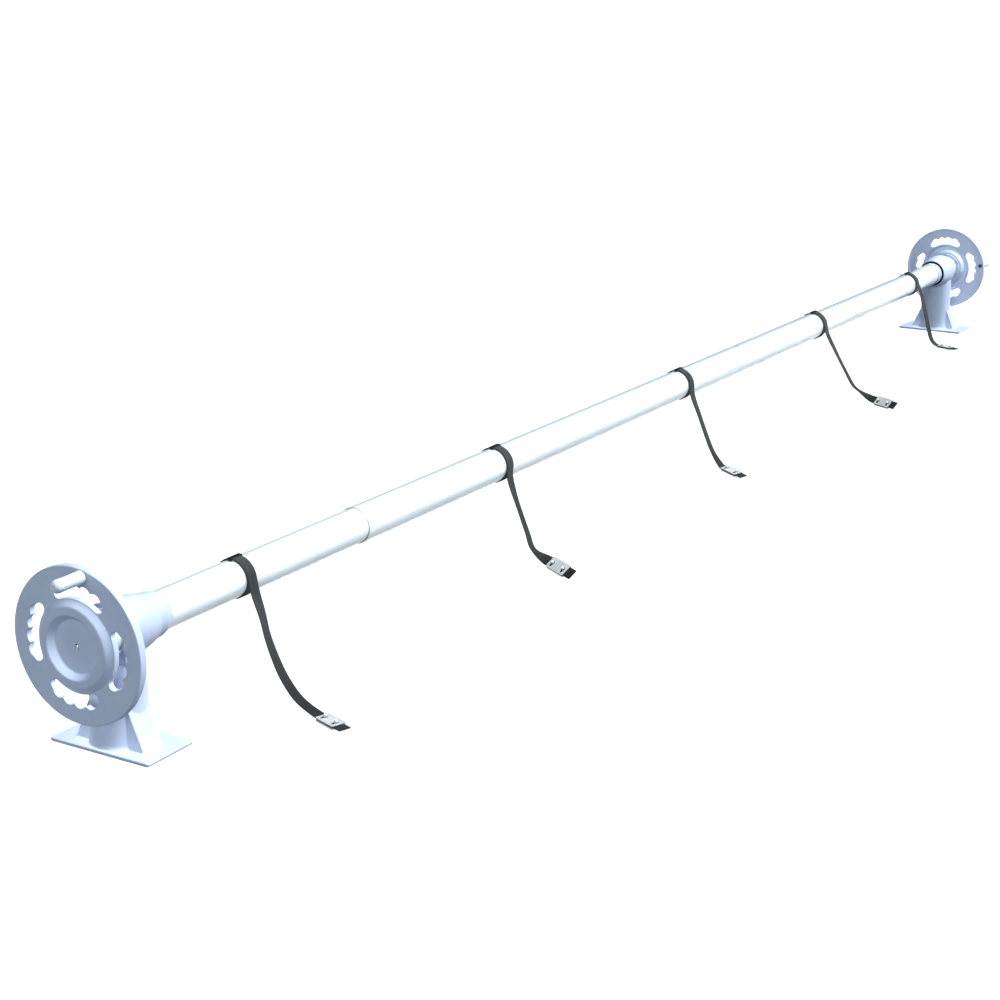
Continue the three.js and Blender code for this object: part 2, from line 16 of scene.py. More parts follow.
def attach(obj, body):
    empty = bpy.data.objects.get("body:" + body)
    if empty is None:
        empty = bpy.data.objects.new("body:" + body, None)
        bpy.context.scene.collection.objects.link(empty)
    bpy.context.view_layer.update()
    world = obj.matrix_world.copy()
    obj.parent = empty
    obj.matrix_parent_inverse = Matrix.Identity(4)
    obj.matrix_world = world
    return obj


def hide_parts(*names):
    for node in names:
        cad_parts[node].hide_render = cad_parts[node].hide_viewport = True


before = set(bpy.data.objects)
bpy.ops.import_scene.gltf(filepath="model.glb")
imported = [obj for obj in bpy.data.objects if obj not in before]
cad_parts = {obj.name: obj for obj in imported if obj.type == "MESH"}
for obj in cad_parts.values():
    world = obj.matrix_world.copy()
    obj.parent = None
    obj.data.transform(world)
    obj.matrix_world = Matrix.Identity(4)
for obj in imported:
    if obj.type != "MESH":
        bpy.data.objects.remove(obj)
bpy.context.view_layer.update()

MM = 0.001
STAND_SPAN = 4300             # between the two columns
AXIS_HEIGHT = 206             # of the tube's axis over the floor
X_AXIS = Vector((1, 0, 0))

# ---------------------------------------------------------------- camera and light

scene = bpy.context.scene

CAMERA_PLACE = (-2.2518, -2.1138, 1.3252)
CAMERA_TURN = (73.602, -0.098, -58.989)
CAMERA_LENS = 68.12
CAMERA_REACH = 500            # past the backdrop, from any view

camera_data = bpy.data.cameras.new("camera")
camera_data.lens = CAMERA_LENS
camera_data.sensor_width = 36
camera_data.clip_end = CAMERA_REACH
camera = bpy.data.objects.new("camera", camera_data)
camera.location = CAMERA_PLACE
camera.rotation_euler = Euler([math.radians(a) for a in CAMERA_TURN])
scene.collection.objects.link(camera)
scene.camera = camera


def sun(name, toward, strength, color, softness, shadow=True):
    """A soft sun lamp that shines from the direction toward."""
    lamp = bpy.data.lights.new(name, "SUN")
    lamp.use_shadow = shadow
    lamp.energy = strength
    lamp.color = color
    lamp.angle = math.radians(softness)
    obj = bpy.data.objects.new(name, lamp)
    obj.rotation_euler = Vector(toward).to_track_quat("Z", "Y").to_euler()
    scene.collection.objects.link(obj)


# A product shot's even light: most of the key throws no shadow, so the floor stays white.
KEY_TOWARD = (0.35, -0.6, 0.72)
KEY_COLOR = (0.92, 0.98, 1.0)
sun("key_light", KEY_TOWARD, 4.3, KEY_COLOR, 24, shadow=False)
sun("soft_key", KEY_TOWARD, 0.6, KEY_COLOR, 50)
sun("face_fill", (-1.0, -0.2, 0.1), 2.35, (0.90, 0.98, 0.95), 50)
sun("top_light", (0.0, 0.5, 1.0), 0.7, (1.0, 1.0, 1.0), 40, shadow=False)


def window(name, place, aim, size, power, color, spread=60):
    """A square soft light at a place, turned to face another."""
    lamp = bpy.data.lights.new(name, "AREA")
    lamp.size = size
    lamp.energy = power
    lamp.color = color
    lamp.spread = math.radians(spread)
    obj = bpy.data.objects.new(name, lamp)
    obj.location = place
    obj.rotation_euler = (Vector(place) - Vector(aim)).to_track_quat("Z", "Y").to_euler()
    scene.collection.objects.link(obj)


window("far_end_fill", (1.6, -3.2, 1.0), (4.35, 0, 0.2), 0.8, 0.5, (0.62, 0.80, 1.0))

world = bpy.data.worlds.new("sky")
world.use_nodes = True
sky = world.node_tree.nodes["Background"].inputs
sky["Color"].default_value = (0.52, 0.66, 1.0, 1)
sky["Strength"].default_value = 0.19
scene.world = world
scene.view_settings.view_transform = "Standard"
scene.view_settings.exposure = 0.0
scene.view_settings.gamma = 0.65

# ---------------------------------------------------------------- material nodes


class Shader:
    """One material's node tree, built from the Principled shader outwards."""

    def __init__(self, name, **sockets):
        self.material = bpy.data.materials.new(name)
        self.material.use_nodes = True
        self.tree = self.material.node_tree
        self.shader = self.tree.nodes["Principled BSDF"]
        for key, value in sockets.items():
            self.shader.inputs[key.replace("_", " ")].default_value = value

    def node(self, kind, inputs=None, **settings):
        made = self.tree.nodes.new(kind)
        for key, value in settings.items():
            setattr(made, key, value)
        for key, value in (inputs or {}).items():
            self.feed(made.inputs[key], value)
        return made

    def feed(self, socket, value):
        if isinstance(value, bpy.types.NodeSocket):
            self.tree.links.new(value, socket)
        else:
            socket.default_value = value

    def where(self, stretch=(1, 1, 1), output="Object"):
        """The surface point, with each axis scaled."""
        spot = self.node("ShaderNodeTexCoord").outputs[output]
        mapping = self.node("ShaderNodeMapping", {"Vector": spot, "Scale": stretch})
        return mapping.outputs["Vector"]

    def noise(self, scale, detail=3, roughness=0.55, stretch=(1, 1, 1)):
        return self.node("ShaderNodeTexNoise", {
            "Vector": self.where(stretch),
            "Scale": scale,
            "Detail": detail,
            "Roughness": roughness,
        }).outputs["Fac"]

    def span(self, value, low, high, to_low=0.0, to_high=1.0):
        """The value, with low..high spread over to_low..to_high and held inside it."""
        return self.node("ShaderNodeMapRange", {
            "Value": value,
            "From Min": low,
            "From Max": high,
            "To Min": to_low,
            "To Max": to_high,
        }).outputs["Result"]

    def math(self, operation, a, b=0.0):
        return self.node("ShaderNodeMath", {0: a, 1: b}, operation=operation).outputs[0]

    def mix(self, share, a, b, blend="MIX"):
        made = self.node("ShaderNodeMix", data_type="RGBA", blend_type=blend)
        self.feed(made.inputs["Factor"], share)
        for socket, color in ((made.inputs[6], a), (made.inputs[7], b)):
            self.feed(socket, color if isinstance(color, bpy.types.NodeSocket) else (*color, 1))
        return made.outputs[2]

    def bump(self, height, distance, strength=1.0, normal=None):
        inputs = {"Height": height, "Distance": distance, "Strength": strength}
        if normal is not None:
            inputs["Normal"] = normal
        return self.node("ShaderNodeBump", inputs).outputs["Normal"]

    def set(self, **links):
        for key, value in links.items():
            self.feed(self.shader.inputs[key.replace("_", " ")], value)
        return self.material

    def hollows(self, distance):
        """0 in the open and 1 in corners and under edges."""
        made = self.node("ShaderNodeAmbientOcclusion", {"Distance": distance}, samples=6)
        return self.span(made.outputs["AO"], 0.35, 0.95, 1.0, 0.0)


def tinted(color, *factors):
    """A colour with each channel multiplied, by one factor or by one of three."""
    return [c * f for c, f in zip(color, factors * 3 if len(factors) == 1 else factors)]


DUST = (0.42, 0.40, 0.37)


def moulded(name, color, roughness, grain=0.00004, dust_and_shade_share=0.25, depth=0.012, dust_and_shade_color=DUST):
    """Moulded plastic: a fine skin, slow waves of sink and gloss, and darker corners: dust by
    default, painted shade for the clamps.
    """
    s = Shader(name, Roughness=roughness)
    cloud = s.noise(9, 5)
    fleck = s.noise(70, 4, 0.7)
    tone = s.mix(s.span(cloud, 0.35, 0.7), color, tinted(color, 0.93, 0.945, 0.965))
    rubbed = s.mix(s.span(fleck, 0.62, 0.74, 0.0, 0.35), tone, tinted(color, 0.86))
    # Corners darken towards the given colour: dust for most plastics, near-black painted shade for
    # the clamps.
    dust_and_shade_tone = s.mix(s.math("MULTIPLY", s.hollows(depth), dust_and_shade_share), rubbed, dust_and_shade_color)
    waves = s.math("ADD", s.span(cloud, 0.3, 0.75, -0.05, 0.09), roughness)
    rough = s.math("ADD", waves, s.span(fleck, 0.5, 0.8, 0, 0.06))
    skin = s.bump(s.noise(900, 2), grain, 0.6)
    sink = s.bump(s.noise(26, 2), grain * 6, 0.5, skin)
    return s.set(Base_Color=dust_and_shade_tone, Roughness=rough, Normal=sink)


def drawn_tube(name, color):
    """White-finished tube: fine lines along it, faint smudges, and painted shade along its edges.
    """
    s = Shader(name, Coat_Weight=1.0, Coat_Roughness=0.12)
    lines = s.noise(420, 3, 0.6, (0.012, 1, 1))
    smudge = s.noise(5, 5, 0.6, (0.6, 1, 1))
    scuff = s.span(s.noise(38, 6, 0.72, (0.25, 1, 1)), 0.64, 0.72)
    tone = s.mix(s.span(smudge, 0.4, 0.72), color, tinted(color, 0.93, 0.95, 0.955))
    worn_and_painted_light = s.mix(s.math("MULTIPLY", scuff, 0.35), tone, (0.60, 0.62, 0.62))
    # Painted shade: darker at the joint's step and where the straps meet the tube.
    shaded_in_hollows = s.mix(s.math("MULTIPLY", s.hollows(0.006), 0.75), worn_and_painted_light, (0.16, 0.18, 0.18))
    rough = s.math("ADD", s.span(smudge, 0.3, 0.8, 0.26, 0.4), s.math("MULTIPLY", scuff, 0.12))
    return s.set(Base_Color=shaded_in_hollows, Roughness=rough, Normal=s.bump(lines, 0.00002, 0.7))


def steel(name, color, roughness):
    """A small plated fixing: brushed, a little uneven, with tarnish in its hollows."""
    s = Shader(name, Metallic=1.0)
    brush = s.noise(1500, 2, 0.6, (0.08, 1, 1))
    patch = s.noise(160, 4)
    tone = s.mix(s.span(patch, 0.35, 0.7), color, tinted(color, 0.75))
    dull = s.mix(s.math("MULTIPLY", s.hollows(0.004), 0.5), tone, (0.26, 0.25, 0.25))
    rough = s.span(patch, 0.3, 0.7, roughness - 0.06, roughness + 0.12)
    return s.set(Base_Color=dull, Roughness=rough, Normal=s.bump(brush, 0.00003, 0.6))


def rubber(name, color):
    """Rubber with a patchy grey bloom."""
    s = Shader(name)
    bloom = s.span(s.noise(60, 5), 0.5, 0.75)
    tone = s.mix(s.math("MULTIPLY", bloom, 0.5), color, (0.10, 0.10, 0.11))
    return s.set(Base_Color=tone, Roughness=s.span(bloom, 0, 1, 0.68, 0.85),
                 Normal=s.bump(s.noise(1200, 2), 0.00005, 0.6))


def webbing(name, color, light):
    """Woven strap: its texture coordinates are metres across and along the strap."""
    s = Shader(name, Sheen_Weight=0.3, Sheen_Roughness=0.4)
    spot = s.node("ShaderNodeSeparateXYZ", {"Vector": s.where(output="UV")})
    yarn_pitch = 0.0017
    across = s.math("MULTIPLY", spot.outputs["X"], math.pi / yarn_pitch)
    along = s.math("MULTIPLY", spot.outputs["Y"], math.pi / yarn_pitch)
    warp = s.math("ABSOLUTE", s.math("SINE", across))
    weft = s.math("ABSOLUTE", s.math("SINE", along))
    over = s.math("MULTIPLY", s.math("SINE", across), s.math("SINE", along))
    turn = s.span(over, -0.25, 0.25)
    height = s.math("ADD", s.math("MULTIPLY", warp, turn),
                    s.math("MULTIPLY", weft, s.math("SUBTRACT", 1.0, turn)))
    fuzz = s.noise(2600, 3, 0.7)
    fade = s.noise(14, 4)
    yarn = s.mix(s.span(height, 0.25, 0.95), tinted(color, 0.45), color)
    speck = s.mix(s.span(fuzz, 0.58, 0.72, 0, 0.75), yarn, light)
    tone = s.mix(s.span(fade, 0.4, 0.7, 0, 0.4), speck, tinted(color, 1.5))
    # Painted sheen and shade: the loop and the upper fall are painted lighter, where the light
    # grazes the webbing, and the clamped end darker.
    painted_sheen_and_shade = s.mix(s.span(spot.outputs["Y"], 0.34, 0.60), (1.35, 1.35, 1.35), (0.5, 0.5, 0.53))
    worn_and_painted_light = s.mix(1.0, tone, painted_sheen_and_shade, "MULTIPLY")
    weave = s.bump(height, 0.0005, 0.9)
    return s.set(Base_Color=worn_and_painted_light, Roughness=s.span(fuzz, 0.3, 0.7, 0.74, 0.92),
                 Normal=s.bump(fuzz, 0.00015, 0.5, weave))


# The clamps are painted near black in every corner, a painted shade which their small parts need to
# be read at all.
CLAMP_FINISH_AND_PAINTED_SHADE = {
    "roughness": 0.28, "grain": 0.00003, "dust_and_shade_share": 1.0, "depth": 0.004, "dust_and_shade_color": (0.05, 0.05, 0.06),
}
MATERIALS = {
    "white_plastic": moulded("white_plastic", (0.66, 0.69, 0.785), 0.40),
    # Painted light: the knob's plastic is the wheel's white made lighter, so that its end, turned
    # from the key, still reads bright.
    "knob_plastic_painted_lighter": moulded("knob_plastic_painted_lighter", (0.80, 0.80, 0.83), 0.34),
    "natural_nylon": moulded("natural_nylon", (0.70, 0.73, 0.79), 0.38),
    "white_tube": drawn_tube("white_tube", (0.91, 0.905, 0.89)),
    "zinc_steel": steel("zinc_steel", (0.56, 0.58, 0.60), 0.32),
    "dark_steel": steel("dark_steel", (0.10, 0.11, 0.14), 0.42),
    "black_rubber": rubber("black_rubber", (0.018, 0.018, 0.02)),
    "black_plastic": moulded("black_plastic", (0.035, 0.04, 0.042), 0.5, 0.00006, 0.12),
    "webbing": webbing("webbing", (0.092, 0.089, 0.086), (0.27, 0.265, 0.26)),
    "milky_plastic": moulded("milky_plastic", (0.64, 0.62, 0.60), **CLAMP_FINISH_AND_PAINTED_SHADE),
    # Painted light: the clamp base and its pegs are the clamp plastic made lighter, so that the
    # pegs read bright.
    "peg_plastic_painted_lighter": moulded("peg_plastic_painted_lighter", (0.90, 0.90, 0.88), **CLAMP_FINISH_AND_PAINTED_SHADE),
}

# ---------------------------------------------------------------- mesh helpers


def direction(angle):
    """The unit vector away from the tube's axis at an angle."""
    return Vector((0, -math.cos(math.radians(angle)), math.sin(math.radians(angle))))


def smoothstep(x, low, high):
    t = min(1.0, max(0.0, (x - low) / (high - low)))
    return t * t * (3 - 2 * t)


def rounded(points, steps=4):
    """A profile of (x, r, fillet) corners as plain (x, r) points, each fillet a short curve."""
    out = []
    for k, (x, r, fillet) in enumerate(points):
        here = Vector((x, r))
        if fillet == 0 or k in (0, len(points) - 1):
            out.append(here)
            continue
        before = Vector(points[k - 1][:2]) - here
        after = Vector(points[k + 1][:2]) - here
        bend = before.angle(after)
        reach = min(fillet / math.tan(bend / 2), 0.48 * before.length, 0.48 * after.length)
        a, b = here + before.normalized() * reach, here + after.normalized() * reach
        for step in range(steps + 1):
            t = step / steps
            out.append(a * (1 - t) ** 2 + here * (2 * t * (1 - t)) + b * t * t)
    return [tuple(p) for p in out]


def build(name, verts, faces):
    """A closed mesh object from millimetre points, with its faces turned outwards."""
    mesh = bpy.data.meshes.new(name)
    mesh.from_pydata([Vector(v) * MM for v in verts], [], faces)
    obj = bpy.data.objects.new(name, mesh)
    scene.collection.objects.link(obj)
    edit(obj, lambda bm: bmesh.ops.recalc_face_normals(bm, faces=bm.faces))
    return obj


def edit(obj, change):
    bm = bmesh.new()
    bm.from_mesh(obj.data)
    change(bm)
    bm.to_mesh(obj.data)
    bm.free()


def turned(name, profile, steps=96, ring=False):
    """A solid of revolution about X. An open profile starts and ends on the axis."""
    verts, rings = [], []
    for x, r in profile:
        if r < 1e-6:
            rings.append([len(verts)])
            verts.append((x, 0, 0))
            continue
        rings.append(list(range(len(verts), len(verts) + steps)))
        for k in range(steps):
            a = 2 * math.pi * k / steps
            verts.append((x, r * math.cos(a), r * math.sin(a)))
    faces = []
    pairs = list(zip(rings, rings[1:])) + ([(rings[-1], rings[0])] if ring else [])
    for a, b in pairs:
        for k in range(steps):
            n = (k + 1) % steps
            if len(a) == 1 and len(b) == 1:
                continue
            if len(a) == 1:
                faces.append((a[0], b[k], b[n]))
            elif len(b) == 1:
                faces.append((a[k], a[n], b[0]))
            else:
                faces.append((a[k], a[n], b[n], b[k]))
    return build(name, verts, faces)


def prism(name, loops):
    """A closed solid through loops of equally many points, with flat ends."""
    count = len(loops[0])
    verts = [p for loop in loops for p in loop]
    faces = [tuple(range(count)), tuple(range(len(verts) - 1, len(verts) - count - 1, -1))]
    for low in range(0, len(verts) - count, count):
        high = low + count
        for k in range(count):
            n = (k + 1) % count
            faces.append((low + k, low + n, high + n, high + k))
    return build(name, verts, faces)


def outline_box(width, length, corner, steps=6):
    """A rectangle with round corners, counter-clockwise."""
    out = []
    for sx, sy, start in ((1, 1, 0), (-1, 1, 90), (-1, -1, 180), (1, -1, 270)):
        for k in range(steps + 1):
            a = math.radians(start + 90 * k / steps)
            out.append((sx * (width / 2 - corner) + corner * math.cos(a),
                        sy * (length / 2 - corner) + corner * math.sin(a)))
    return out


def offset_outline(outline, distance):
    """A closed 2-D outline moved outwards along its own normals."""
    out = []
    count = len(outline)
    area = sum(a[0] * b[1] - a[1] * b[0] for a, b in zip(outline, outline[1:] + outline[:1]))
    side = 1 if area > 0 else -1
    for k in range(count):
        a, p, b = (Vector(outline[(k + d) % count]) for d in (-1, 0, 1))
        u, v = (p - a).normalized(), (b - p).normalized()
        n1, n2 = Vector((u.y, -u.x)), Vector((v.y, -v.x))
        mid = (n1 + n2).normalized()
        out.append(tuple(p + mid * (side * distance / max(0.6, mid.dot(n1)))))
    return out


def soften(outline, count=260, rounds=9):
    """A closed 2-D outline resampled evenly, with its corners averaged round."""
    points = [Vector((*p, 0)) for p in outline + outline[:1]]
    points = spaced(points, count)[:-1]
    for _ in range(rounds):
        around = zip(points[-1:] + points[:-1], points, points[1:] + points[:1])
        points = [(a + 2 * b + c) / 4 for a, b, c in around]
    return [(p.x, p.y) for p in points]


def spaced(line, count):
    """count + 1 points at equal distances along a line of points."""
    lengths = [0.0]
    for a, b in zip(line, line[1:]):
        lengths.append(lengths[-1] + (b - a).length)
    out, k = [], 0
    for step in range(count + 1):
        goal = lengths[-1] * step / count
        while k < len(line) - 2 and lengths[k + 1] < goal:
            k += 1
        share = (goal - lengths[k]) / (lengths[k + 1] - lengths[k])
        out.append(line[k].lerp(line[k + 1], share))
    return out


def bake_modifiers(obj):
    """Replaces the object's mesh with what its modifiers make of it."""
    graph = bpy.context.evaluated_depsgraph_get()
    mesh = bpy.data.meshes.new_from_object(obj.evaluated_get(graph))
    obj.modifiers.clear()
    obj.data = mesh


def combine(obj, others, operation="DIFFERENCE"):
    """Cuts the other solids from obj, or adds them to it."""
    for other in others:
        boolean = obj.modifiers.new("combine", "BOOLEAN")
        boolean.operation = operation
        boolean.solver = "EXACT"
        boolean.object = other
        bake_modifiers(obj)
        bpy.data.objects.remove(other)
    edit(obj, lambda bm: bmesh.ops.remove_doubles(bm, verts=bm.verts, dist=1e-6))
    return obj


def facing(vector):
    """The turn that points the X axis along a vector."""
    return vector.to_track_quat("X", "Z").to_matrix().to_4x4()


def rod(name, radius, start, end, steps=32):
    """A plain round cutter between two points."""
    start, end = Vector(start), Vector(end)
    length = (end - start).length
    obj = turned(name, [(0, 0), (0, radius), (length, radius), (length, 0)], steps)
    obj.data.transform(Matrix.Translation(start * MM) @ facing(end - start))
    return obj


def shade(obj, angle=34):
    """Smooth shading with flat faces kept flat, and the sharp edges that are left marked."""
    obj.data.shade_smooth()
    obj.data.set_sharp_from_angle(angle=math.radians(angle))
    weighted = obj.modifiers.new("normals", "WEIGHTED_NORMAL")
    weighted.keep_sharp = True
    bake_modifiers(obj)
    return obj


def dress(obj, material, body, replaces=()):
    """Gives a finished piece its material and its body, and hides the CAD nodes that it stands for.
    """
    obj.data.materials.clear()
    obj.data.materials.append(MATERIALS[material])
    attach(obj, body)
    if replaces:
        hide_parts(*replaces)
    return obj


# ---------------------------------------------------------------- the two ends

# Each end is built about the tube's axis, with X = 0 in the middle of the column and the wheel
# on the -X side. Profiles are (x, radius, rounding).
FACE = -94.5                  # the wheel's outer face
SLOT_INNER, SLOT_CUSP, SLOT_OUTER = 84, 104, 111      # radii of a finger slot's edges
SLOT_LOBES, SLOT_SPAN = 4, 27.5                       # the span is half its angle
KNOB_ORBIT = 128
END_TUBE_RADIUS, MIDDLE_TUBE_RADIUS = 36.2, 38.1
SLEEVE = 36.5                 # the bore of what goes over an end tube
END_TUBE = (-41.7, 1787.3)
MIDDLE_TUBE = (701.5, 3148.5)
COLLAR = {                    # each collar's outside
    "left": [(69.3, 43.4, 0.8), (88, 42.6, 8), (98, 40, 8), (105, 37.6, 0.8)],
    "right": [(72, 38.4, 0.6), (103, 38.4, 1.2), (105, 37.7, 0.6)],
}
COLLAR_SCREW_SEAT = {"left": 40.1, "right": 38.7}
COLLAR_SCREWS = {"x": 88, "angles": (-60, 120)}
SIDES = {
    "left": {"turn": -7, "slot": 1, "place": Matrix.Translation((0, 0, AXIS_HEIGHT * MM))},
    "right": {
        "turn": -5,
        "slot": 2,
        "place": Matrix.Translation((STAND_SPAN * MM, 0, AXIS_HEIGHT * MM))
                 @ Matrix.Rotation(math.pi, 4, "Z"),
    },
}


def slot_outline(angle):
    """A kidney slot with four finger lobes on its outer edge, in the plane of -Y and Z."""
    half = math.radians(SLOT_SPAN / SLOT_LOBES)
    chord, depth = SLOT_CUSP * math.sin(half), SLOT_CUSP * math.cos(half)
    rise = SLOT_OUTER - depth
    radius = (chord ** 2 + rise ** 2) / (2 * rise)
    centre = SLOT_OUTER - radius
    reach = math.degrees(math.atan2(chord, depth - centre))
    points = []

    def polar(r, degrees):
        return r * math.cos(math.radians(degrees)), r * math.sin(math.radians(degrees))

    def at(r, degrees, origin=(0, 0)):
        x, y = polar(r, degrees)
        points.append((x + origin[0], y + origin[1]))

    for lobe in range(SLOT_LOBES):
        middle = angle - SLOT_SPAN + (2 * lobe + 1) * SLOT_SPAN / SLOT_LOBES
        for k in range(1 if lobe else 0, 11):
            at(radius, middle + reach * (k / 5 - 1), polar(centre, middle))
    middle = (SLOT_CUSP + SLOT_INNER) / 2
    end_radius = (SLOT_CUSP - SLOT_INNER) / 2
    for k in range(1, 8):
        at(end_radius, angle + SLOT_SPAN + 22.5 * k, polar(middle, angle + SLOT_SPAN))
    for k in range(21):
        at(SLOT_INNER, angle + SLOT_SPAN * (1 - k / 10))
    for k in range(1, 8):
        at(end_radius, angle - SLOT_SPAN + 180 + 22.5 * k, polar(middle, angle - SLOT_SPAN))
    return soften(points)


def wheel(name, turn, knob_at):
    """The handwheel: a dished disc with four finger slots and holes for its bolt and screw."""
    profile = rounded([
        (2, 0, 0), (2, 47, 6), (-11, 57.5, 5), (-11, 71, 8), (-3.5, 78, 4), (0, 82, 2.5),
        (0, 140, 3), (15, 140, 1.5), (15, 135, 1.2), (12, 134, 1), (12, 81, 2), (-5.5, 74, 2),
        (-5.5, 63, 2), (8, 55, 2), (8, 0, 0),
    ])
    disc = turned(name, [(FACE + x, r) for x, r in profile], 144)
    # Each slot's edges are rounded by a cutter that flares at the web's two faces.
    flare = [
        (-3, 1.2), (-0.01, 1.0), (0.25, 0.55), (0.6, 0.2), (1.1, 0),
        (10.9, 0), (11.4, 0.2), (11.75, 0.55), (12.01, 1.0), (16, 1.2),
    ]
    for k in range(4):
        outline = slot_outline(turn + 90 * k)
        loops = []
        for x, grow in flare:
            grown = offset_outline(outline, grow) if grow else outline
            loops.append([(FACE + x, -u, v) for u, v in grown])
        combine(disc, [prism("slot", loops)])
    before = X_AXIS * (FACE - 2)
    bolt_hole = rod("bolt_hole", 3.3, knob_at + before, knob_at + X_AXIS * (FACE + 17))
    screw_hole = rod("screw_hole", 2.8, before, X_AXIS * (FACE + 12))
    combine(disc, [bolt_hole, screw_hole])
    return shade(disc)


def screw(name, radius, head, length, height):
    """A pan-head screw with a cross recess. Its seat is at x = 0 and its head on the -X side."""
    profile = rounded([
        (-height, 0, 0), (-height, head * 0.62, 1.2), (-height * 0.45, head, 0.9), (0, head, 0.15),
        (0, radius, 0), (length - radius, radius, 0), (length, 0, 0),
    ], 4)
    body = turned(name, profile, 40)
    blades = []
    half_width, half_length, depth = head * 0.11, head * 0.55, height * 0.7
    for turn in (0.4, 0.4 + math.pi / 2):
        c, s = math.cos(turn), math.sin(turn)
        loops = []
        for x, taper in ((-height - 1, 1.25), (-height + depth, 0.45)):
            w, h = half_width, half_length * taper
            corners = [(-w, -h), (w, -h), (w, h), (-w, h)]
            loops.append([(x, u * c - v * s, u * s + v * c) for u, v in corners])
        blades.append(prism("blade", loops))
    return shade(combine(body, blades), 30)


def hexagon_nut(name, across, thick, hole):
    """A plain nut with its corners chamfered. Its faces are at x = 0 and x = thick."""
    corner = across / 2 / math.cos(math.pi / 6)
    body = turned(name, [(0, 0), (0, corner), (thick, corner), (thick, 0)], 6)
    cone = turned("chamfer", [
        (-0.01, 0), (-0.01, across * 0.5), (0.7, corner + 0.05),
        (thick - 0.7, corner + 0.05), (thick + 0.01, across * 0.5), (thick + 0.01, 0),
    ], 48)
    combine(body, [cone], "INTERSECT")
    return shade(combine(body, [rod("thread", hole, (-1, 0, 0), (thick + 1, 0, 0))]), 20)


def stand(name):
    """One moulding: base plate, conical column with a wedge on each side, and bearing housing."""
    base_outline = outline_box(119, 222, 5)
    base_levels = ((0.0, -0.9), (0.5, -0.25), (1.2, 0.0), (4.6, 0.0), (5.5, -0.35), (6.0, -1.2))
    body = prism(name, [[(x, y, z - AXIS_HEIGHT) for x, y in offset_outline(base_outline, grow)]
                        for z, grow in base_levels])
    column = turned("column", rounded([
        (2, 0, 0), (2, 54.5, 0), (6, 54.0, 4), (12, 51.5, 8), (176, 48.5, 0), (176, 0, 0),
    ], 8), 96)
    upright = Matrix.Rotation(-math.pi / 2, 4, "Y")
    column.data.transform(Matrix.Translation((0, 0, -AXIS_HEIGHT * MM)) @ upright)
    foot, crown, crown_height = 76, 38, 93      # the wedge's half widths, and where it ends
    wedge_loops = []
    for x, inset in ((-29.5, 1.2), (-28.9, 0.35), (-28.0, 0), (19.0, 0), (19.9, 0.35), (20.5, 1.2)):
        outline = [
            (-foot, 2), (foot, 2), (foot - inset, 7), (crown - inset, crown_height - inset),
            (-crown + inset, crown_height - inset), (-foot + inset, 7),
        ]
        wedge_loops.append([(x, y, z - AXIS_HEIGHT) for y, z in outline])
    wedge = prism("wedge", wedge_loops)
    barrel = turned("barrel", rounded([
        (-24.5, 0, 0), (-24.5, 54, 2.5), (18, 54, 10), (38, 52, 30), (56, 48.5, 20),
        (69, 45.2, 1.5), (69, 0, 0),
    ], 6), 128)
    # The shoulder cuts the column back under the wheel.
    shoulder = (
        (-24.5, AXIS_HEIGHT), (-70, AXIS_HEIGHT), (-70, 90), (-56, 112), (-24.5, 157),
    )
    block = prism("shoulder", [[(x, y, z - AXIS_HEIGHT) for x, z in shoulder] for y in (-70, 70)])
    combine(column, [block])
    combine(body, [column, wedge, barrel], "UNION")
    remesh = body.modifiers.new("remesh", "REMESH")
    remesh.mode = "VOXEL"
    remesh.voxel_size = 0.0014
    smooth = body.modifiers.new("smooth", "SMOOTH")
    smooth.factor = 0.5
    smooth.iterations = 7
    bake_modifiers(body)
    # The base keeps its flat underside and its size after the smoothing.
    for v in body.data.vertices:
        v.co.z = max(v.co.z, -AXIS_HEIGHT * MM)
        if v.co.z < (0.8 - AXIS_HEIGHT) * MM:
            v.co.z = -AXIS_HEIGHT * MM
    bore = turned("bore", rounded([
        (-40, 0, 0), (-40, 46, 0), (-24.3, 41.6, 0), (-23, 40.3, 0), (65.7, 40.3, 0),
        (65.7, 43.2, 0), (68.4, 43.2, 0), (69.2, 43.8, 0), (80, 46, 0), (80, 0, 0),
    ]), 128)
    combine(body, [bore])
    return shade(body, 40)


